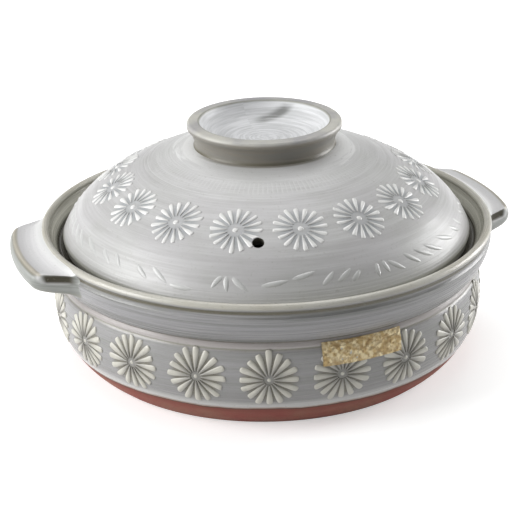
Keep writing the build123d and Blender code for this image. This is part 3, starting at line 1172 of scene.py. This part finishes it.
def makeBowlGlaze():
    material, point = startMaterial("bowlGlaze")
    radius, height, angle, around = placesAt(point)
    mottle = mottleAt(point)
    across = total(height, radius)
    streaks, fine = brushMask(across, around, 0.42, 1.5), brushMask(across, around, 1.5, 3.0, 4.0)
    # the glaze's lower edge wanders a little over the clay
    wander = total(height, both(calculate("SUBTRACT", mottle["Clouds"], 0.5), 1.2))
    mask = masksFrom({"height": height, "radius": radius, "wander": wander}, bowlBands)
    shade = layered("wall", (streaks, "wallLilac"), (fine, "wallGreen", 0.45))
    rowAcross = calculate("SUBTRACT", height, wallRowHeight)
    # the ground of the wall's flowers, partly stamped clay and partly painted shadow between the petals
    shade = flowerGround(shade, angle, rowAcross, wallRow, bellyRadius, "stampGroundShade", 0.95)
    collarShade = layered(
        "collar",
        (streaks, "collarLight"),
        (fine, "oliveGrey", 0.2),
        # painted highlight along the collar's bulge
        (mask("collarHighlight"), "collarLight", 0.5),
    )
    galleryShade = layered(
        "gallery",
        (streaks, "oliveGrey", 0.25),
        # painted shadow in the gallery's corner
        (mask("galleryCornerShade"), "paintedShade"),
        (mask("brow"), "olive", 0.45),
    )
    clayShade = layered(
        "clay",
        (mottle["Grain"], "clayDark"),
        (mottle["Clouds"], "glazeEdge", 0.5),
        (mask("clayShadow"), "clayDark", 0.75),
    )
    inside = mask("within", "aboveFloor")
    innerWall = both(inside, either(mask("lowerWall"), mask("upperWall", "upperHeight")))
    ledge = both(inside, mask("ledge"))
    outside = opposite(innerWall)
    bare = both(mask("bare"), outside)
    shade = layered(
        shade,
        (mask("pool"), "glazePool", 0.85),
        # painted light on the up-facing neck band
        (mask("neck"), "neck"),
        (mask("incised"), "oliveGrey", 0.8),
        (mask("collar"), collarShade),
        # painted shadow under the collar's step
        (mask("step"), "olive", 0.85),
        (mask("groove"), "olive"),
        (mask("lip"), layered("lip", (mottle["Clouds"], "tan", 0.4))),
        (mask("gallery", "galleryHeight"), galleryShade),
        (either(innerWall, ledge), layered("inside", (streaks, "collarLight", 0.5))),
        # pooled glaze and painted shadow under the lid's edge
        (both(ledge, mask("seat")), "paintedShade"),
        (mottle["Specks"], "oliveGrey", 0.35),
        (both(mask("glazeEdge"), outside), "glazeEdge", 0.7),
        (bare, clayShade),
        # painted shadow just under the glaze's edge
        (both(mask("glazeEdgeShadow"), outside), "paintedShade", 0.75),
    )
    rough = total(0.2, both(fine, 0.12), both(bare, 0.55))
    relief = total(both(fine, 0.5), both(mottle["Grain"], total(0.12, bare)))
    return finishMaterial(material, shade, rough, relief, 0.5, 0.16)


lidBands = {
    "hatch": ("radius", 60.5, 69.5, 0.8),
    "hatchTick": ("tick", 0.1, 0.8),
    "outside": ("height", 70, 72),
    "crown": ("radius", 78, 50),
    "hem": ("radius", 119, 125),
    "edge": ("radius", lidRadius - 1, lidRadius - 0.3),
    # painted reflections round the knob, set by the view's front
    "flare": ("sweep", 46, 60, 3),
    "besideKnob": ("front", 0.9, 0.4),
    "knobReflection": ("radius", 40, 46, 1),
    "beforeKnob": ("front", 0.3, 0.9),
    # painted shadow inside the vent
    "bore": ("bore", 4.7 * mm, 4.3 * mm),
}
# turned rings, as distance from the axis, half width and softness
lidRings = ((58.8, 0.2, 0.3), (72.8, 0.2, 0.3), (74.8, 0.2, 0.3))
lidRings += ((124.4, 0.1, 0.25), (125.6, 0.1, 0.25), (126.5, 0.1, 0.25))
hatchTicks = 150


def makeLidGlaze():
    material, point = startMaterial("lidGlaze")
    radius, height, angle, around = placesAt(point)
    mottle = mottleAt(point)
    wide, fine = brushMask(radius, around, 0.22, 1.2), brushMask(radius, around, 1.3, 2.4, 9.0)
    mouth, way = ventPlace()
    measures = {
        "radius": radius,
        "height": height,
        "tick": calculate("SINE", both(angle, hatchTicks)),
        "sweep": total(radius, both(wide, 9.0)),
        "front": calculate("COSINE", total(angle, 0.34)),
        # distance from a point inside the vent, for its painted shadow
        "bore": vectorMath("DISTANCE", {0: point, 1: mouth - way * 3 * mm})["Value"],
    }
    mask = masksFrom(measures, lidBands)
    shade = layered("lid", (wide, "lidWhite", 0.55), (fine, "lidGrey", 0.3))
    shade = layered(shade, (mottle["Clouds"], "lidLilac", 0.3))
    across = both(calculate("SUBTRACT", radius, lidRowRadius), 1.16)
    # the ground of the lid's flowers, partly painted shade beside the petals
    shade = flowerGround(shade, angle, across, lidRow, lidRowRadius, "lidShade", 0.7)
    # the hatched band and the rings are scratched through the glaze
    hatch = both(mask("hatchTick", "hatch"), opposite(both(wide, 0.7)))
    marks = either(hatch, *(zone(radius, ring - half, ring + half, soft) for ring, half, soft in lidRings))
    # painted reflections on the glaze: white highlights on both sides of the knob, and the knob's dark wall
    # mirrored in front of it
    shade = layered(
        shade,
        (marks, "lidWhite", 0.32),
        (mask("crown"), "lidWhite", 0.5),
        (mask("hem", "outside"), "lidWhite", 0.12),
        (mask("edge", "outside"), "oliveGrey", 0.6),
        (mask("flare", "besideKnob"), "lidHighlight", 0.75),
        (mask("knobReflection", "beforeKnob"), "knobWall", 0.85),
        (mottle["Specks"], "oliveGrey", 0.25),
        # painted shadow inside the vent
        (mask("bore"), "paintedShade", 0.9),
    )
    relief = total(both(fine, 0.3), both(marks, -0.8))
    return finishMaterial(material, shade, total(0.3, both(fine, 0.12)), relief, 0.45, 0.2)


dishEdge = knobRadius - knob["rimWidth"]
knobBands = {
    "rim": ("height", knobTop - 2.6, knobTop - 0.8),
    "dish": ("radius", dishEdge + 0.2, dishEdge - 0.6),
    "mouth": ("radius", dishEdge - 0.5, dishEdge + 0.7, 0.3),
    # painted shade at the knob's foot, where it meets the lid
    "root": ("height", knobSeat + 3, knobSeat),
    "outside": ("radius", dishEdge, dishEdge + 1),
    # one grey slip of the brush in the dish
    "slipAcross": ("across", 6, 28, 5),
    "slipBack": ("back", 25.5, 31, 2),
    "slipWithin": ("radius", dishEdge - 0.5, dishEdge - 1.5),
    "slipHeight": ("height", knobSeat + 2, knobSeat + 4),
}


def makeKnobGlaze():
    material, point = startMaterial("knobGlaze")
    radius, height, angle, around = placesAt(point)
    mottle = mottleAt(point)
    across, back, _ = splitParts(vectorMath("SCALE", {0: point, "Scale": 1 / mm})[0])
    measures = {"radius": radius, "height": height, "across": across, "back": back}
    mask = masksFrom(measures, knobBands)
    brush = brushMask(total(radius, both(angle, 1.1)), around, 0.55, 0.9)
    slip = mask("slipBack", "slipAcross", "slipWithin", "slipHeight")
    slip = both(slip, ease(brush, 0.0, 0.8, 0.45, 0.9))
    shade = layered(
        layered("knobWall", (brush, "collar", 0.5)),
        (mask("rim"), layered("lip", (mottle["Clouds"], "collarLight"))),
        (mask("dish"), layered("dish", (brush, "dishGrey", 0.7))),
        (mask("mouth"), "oliveGrey", 0.7),
        # painted shade at the knob's foot
        (mask("root", "outside"), "olive", 0.8),
        (slip, "collar"),
    )
    return finishMaterial(material, shade, total(0.32, both(brush, 0.14)), brush, 0.35, 0.2)


def handleBands(crease):
    low, high, _ = handle["grooveHeights"]
    return {
        # tops facing up are painted lighter, partly their own whiter glaze and partly painted light
        "topFacing": ("up", 0.1, 0.6),
        # painted shade on undersides facing down
        "underShade": ("up", -0.2, -0.7),
        "endFacing": ("sideways", 0.35, 0.6),
        "insideCrease": ("radius", crease + 1, crease - 0.3),
        "nearLip": ("radius", lipRadius + 6, lipRadius - 1),
        "edge": ("radius", crease - 2, crease + 1.4, 0.9),
        "edgeHeight": ("height", 80.6, 81.6),
        "line": ("height", 80.5, 81.9, 0.6),
        "lineReach": ("radius", crease - 0.8, crease + 0.4),
        # painted shadow in the finger grooves of the ends
        "groove": ("height", low - 0.6, high + 0.4, 1.2),
        "grooveReach": ("radius", 141.6, crease - 2.6, 1.6),
    }


def makeHandleGlaze(name, crease):
    material, point = startMaterial(name)
    radius, height, _, around = placesAt(point)
    mottle = mottleAt(point)
    _, facing, up = splitParts(material.node_tree.nodes.new("ShaderNodeNewGeometry").outputs["Normal"])
    sideways = calculate("ABSOLUTE", facing)
    measures = {"radius": radius, "height": height, "up": up, "sideways": sideways}
    mask = masksFrom(measures, handleBands(crease))
    upward = mask("topFacing", "insideCrease")
    across = total(both(radius, upward), both(height, opposite(upward)))
    brush = brushMask(across, around, 0.5, 2.0)
    # painted shadow in the finger grooves
    groove = mask("groove", "grooveReach", "endFacing")
    shade = layered(
        layered("handleSide", (brush, "handleSideLight")),
        # the top: its own whiter brushed glaze, lightened further as painted light
        (upward, layered("handleTopLit", (brush, "lidWhite", 0.4), (mask("nearLip"), "handleWhite"))),
        # painted shade on the undersides
        (mask("underShade"), "oliveGrey", 0.6),
        (mask("edge", "edgeHeight"), layered("handleEdge", (mottle["Clouds"], "tan")), 0.8),
        (mask("line", "lineReach"), "olive", 0.6),
        (groove, "paintedShade"),
        (mottle["Specks"], "oliveGrey", 0.25),
    )
    rough = total(0.36, both(brush, 0.1), both(groove, 0.4))
    return finishMaterial(material, shade, rough, brush, 0.3, 0.15)


def makeSlip(name, tips, roots):
    # petals are paler towards their tips
    material, point = startMaterial(name)
    mottle = mottleAt(point)
    share = material.node_tree.nodes.new("ShaderNodeAttribute")
    share.attribute_name = "tipShare"
    nearTip = ease(share.outputs["Fac"], 0.22, 0.8)
    shade = layered(roots, (nearTip, tips), (mottle["Clouds"], roots, 0.25))
    return finishMaterial(material, shade, 0.3, mottle["Grain"], 0.3, 0.1)


def makeLeafSlip():
    material, point = startMaterial("leafSlip")
    mottle = mottleAt(point)
    shade = layered("leaf", (mottle["Clouds"], "lidWhite", 0.5))
    return finishMaterial(material, shade, 0.28, mottle["Grain"], 0.2, 0.1)


def makeGoldPaper():
    material, point = startMaterial("goldPaper")
    flakes = addNode("ShaderNodeTexVoronoi", {"Vector": point, "Scale": 620.0}, feature="F1")
    flake = ease(splitParts(flakes["Color"])[0], 0.3, 0.7)
    clouds = noiseAt(point, 260.0, 5.0)
    shade = layered("paperDark", (ease(clouds, 0.4, 0.6), "paperLight"), (flake, "paperFleck", 0.5))
    material.node_tree.nodes["Principled BSDF"].inputs["Metallic"].default_value = 0.25
    return finishMaterial(material, shade, 0.42, clouds, 0.5, 0.25)


bowlGlaze, lidGlaze, knobGlaze = makeBowlGlaze(), makeLidGlaze(), makeKnobGlaze()
rightGlaze = makeHandleGlaze("rightGlaze", handle["right"]["crease"])
leftGlaze = makeHandleGlaze("leftGlaze", handle["left"]["crease"])
goldPaper, leafSlip = makeGoldPaper(), makeLeafSlip()
wallSlip, lidSlip = makeSlip("wallSlip", "wallSlip", "wallSlipRoot"), makeSlip("lidSlip", "slip", "lid")
finishPiece(glazedBowl, bowlGlaze, "pot", "pot_glaze", "pot_bowl")
finishPiece(rightLug, rightGlaze, "pot", "pot_glaze", "right_handle")
finishPiece(leftLug, leftGlaze, "pot", "pot_glaze", "left_handle")
finishPiece(wallPetals, wallSlip, "pot", "white_slip", "wall_flowers")
finishPiece(goldLabel, goldPaper, "pot", "label_paper", "paper_label")
finishPiece(glazedDome, lidGlaze, "lid", "lid_glaze", "lid_dome")
finishPiece(glazedKnob, knobGlaze, "lid", "lid_glaze", "lid_knob")
finishPiece(lidPetals, lidSlip, "lid", "white_slip", "lid_flowers")
finishPiece(lidLeaves, leafSlip, "lid", "white_slip")
print("materials made")

# stage
studio = {
    "floorSize": 40,
    "floor": (0.8, 0.8, 0.8, 1.0),
    "white": (1.0, 1.0, 1.0, 1.0),
    "floorGlow": 0.48,
    "glowReach": (0.3, 1.6),
    "aim": (0, 0, 0.07),
    "worldStrength": 0.26,
    "key": {"place": (-1.65, 0.15, 0.78), "size": 1.2, "power": 34},
    "top": {"place": (0.2, 0.6, 1.7), "size": 1.3, "power": 13},
    "fill": {"place": (1.6, 0.1, 0.42), "size": 0.9, "power": 21},
}


def makeFloor():
    clearSelection()
    bpy.ops.mesh.primitive_plane_add(size=studio["floorSize"])
    floor = bpy.context.object
    floor.name = "floor"
    material = bpy.data.materials.new("whiteFloor")
    material.use_nodes = True
    tree = material.node_tree
    shader = tree.nodes["Principled BSDF"]
    path = tree.nodes.new("ShaderNodeLightPath").outputs
    seen = either(path["Is Camera Ray"], path["Is Glossy Ray"], path["Is Transmission Ray"])
    point = tree.nodes.new("ShaderNodeTexCoord").outputs["Object"]
    away = vectorMath("LENGTH", {0: point})["Value"]
    # the floor's own glow hides its horizon, and leaves the shadow near the pot
    glow = ease(away, *studio["glowReach"], studio["floorGlow"])
    feed(shader, {"Base Color": studio["floor"], "Roughness": 0.9, "Emission Color": studio["white"]})
    feed(shader, {"Emission Strength": both(seen, glow)})
    floor.data.materials.append(material)


def makeWorld():
    world = bpy.data.worlds.new("studioWorld")
    bpy.context.scene.world = world
    world.use_nodes = True
    tree = world.node_tree
    path = tree.nodes.new("ShaderNodeLightPath").outputs
    seen = either(path["Is Camera Ray"], path["Is Transmission Ray"])
    strength = addNode("ShaderNodeMapRange", {"Value": seen, "To Min": studio["worldStrength"]})[0]
    feed(tree.nodes["Background"], {"Color": studio["white"], "Strength": strength})


def makeLamps():
    for name in ("key", "top", "fill"):
        lamp = studio[name]
        place = Vector(lamp["place"])
        aim = (Vector(studio["aim"]) - place).to_track_quat("-Z", "Y").to_euler()
        bpy.ops.object.light_add(type="AREA", location=place, rotation=aim)
        made = bpy.context.object
        made.name = name + "Lamp"
        made.data.size = lamp["size"]
        made.data.energy = lamp["power"]


makeFloor()
makeWorld()
makeLamps()
bpy.context.scene.view_settings.view_transform = "Standard"
print("stage set")
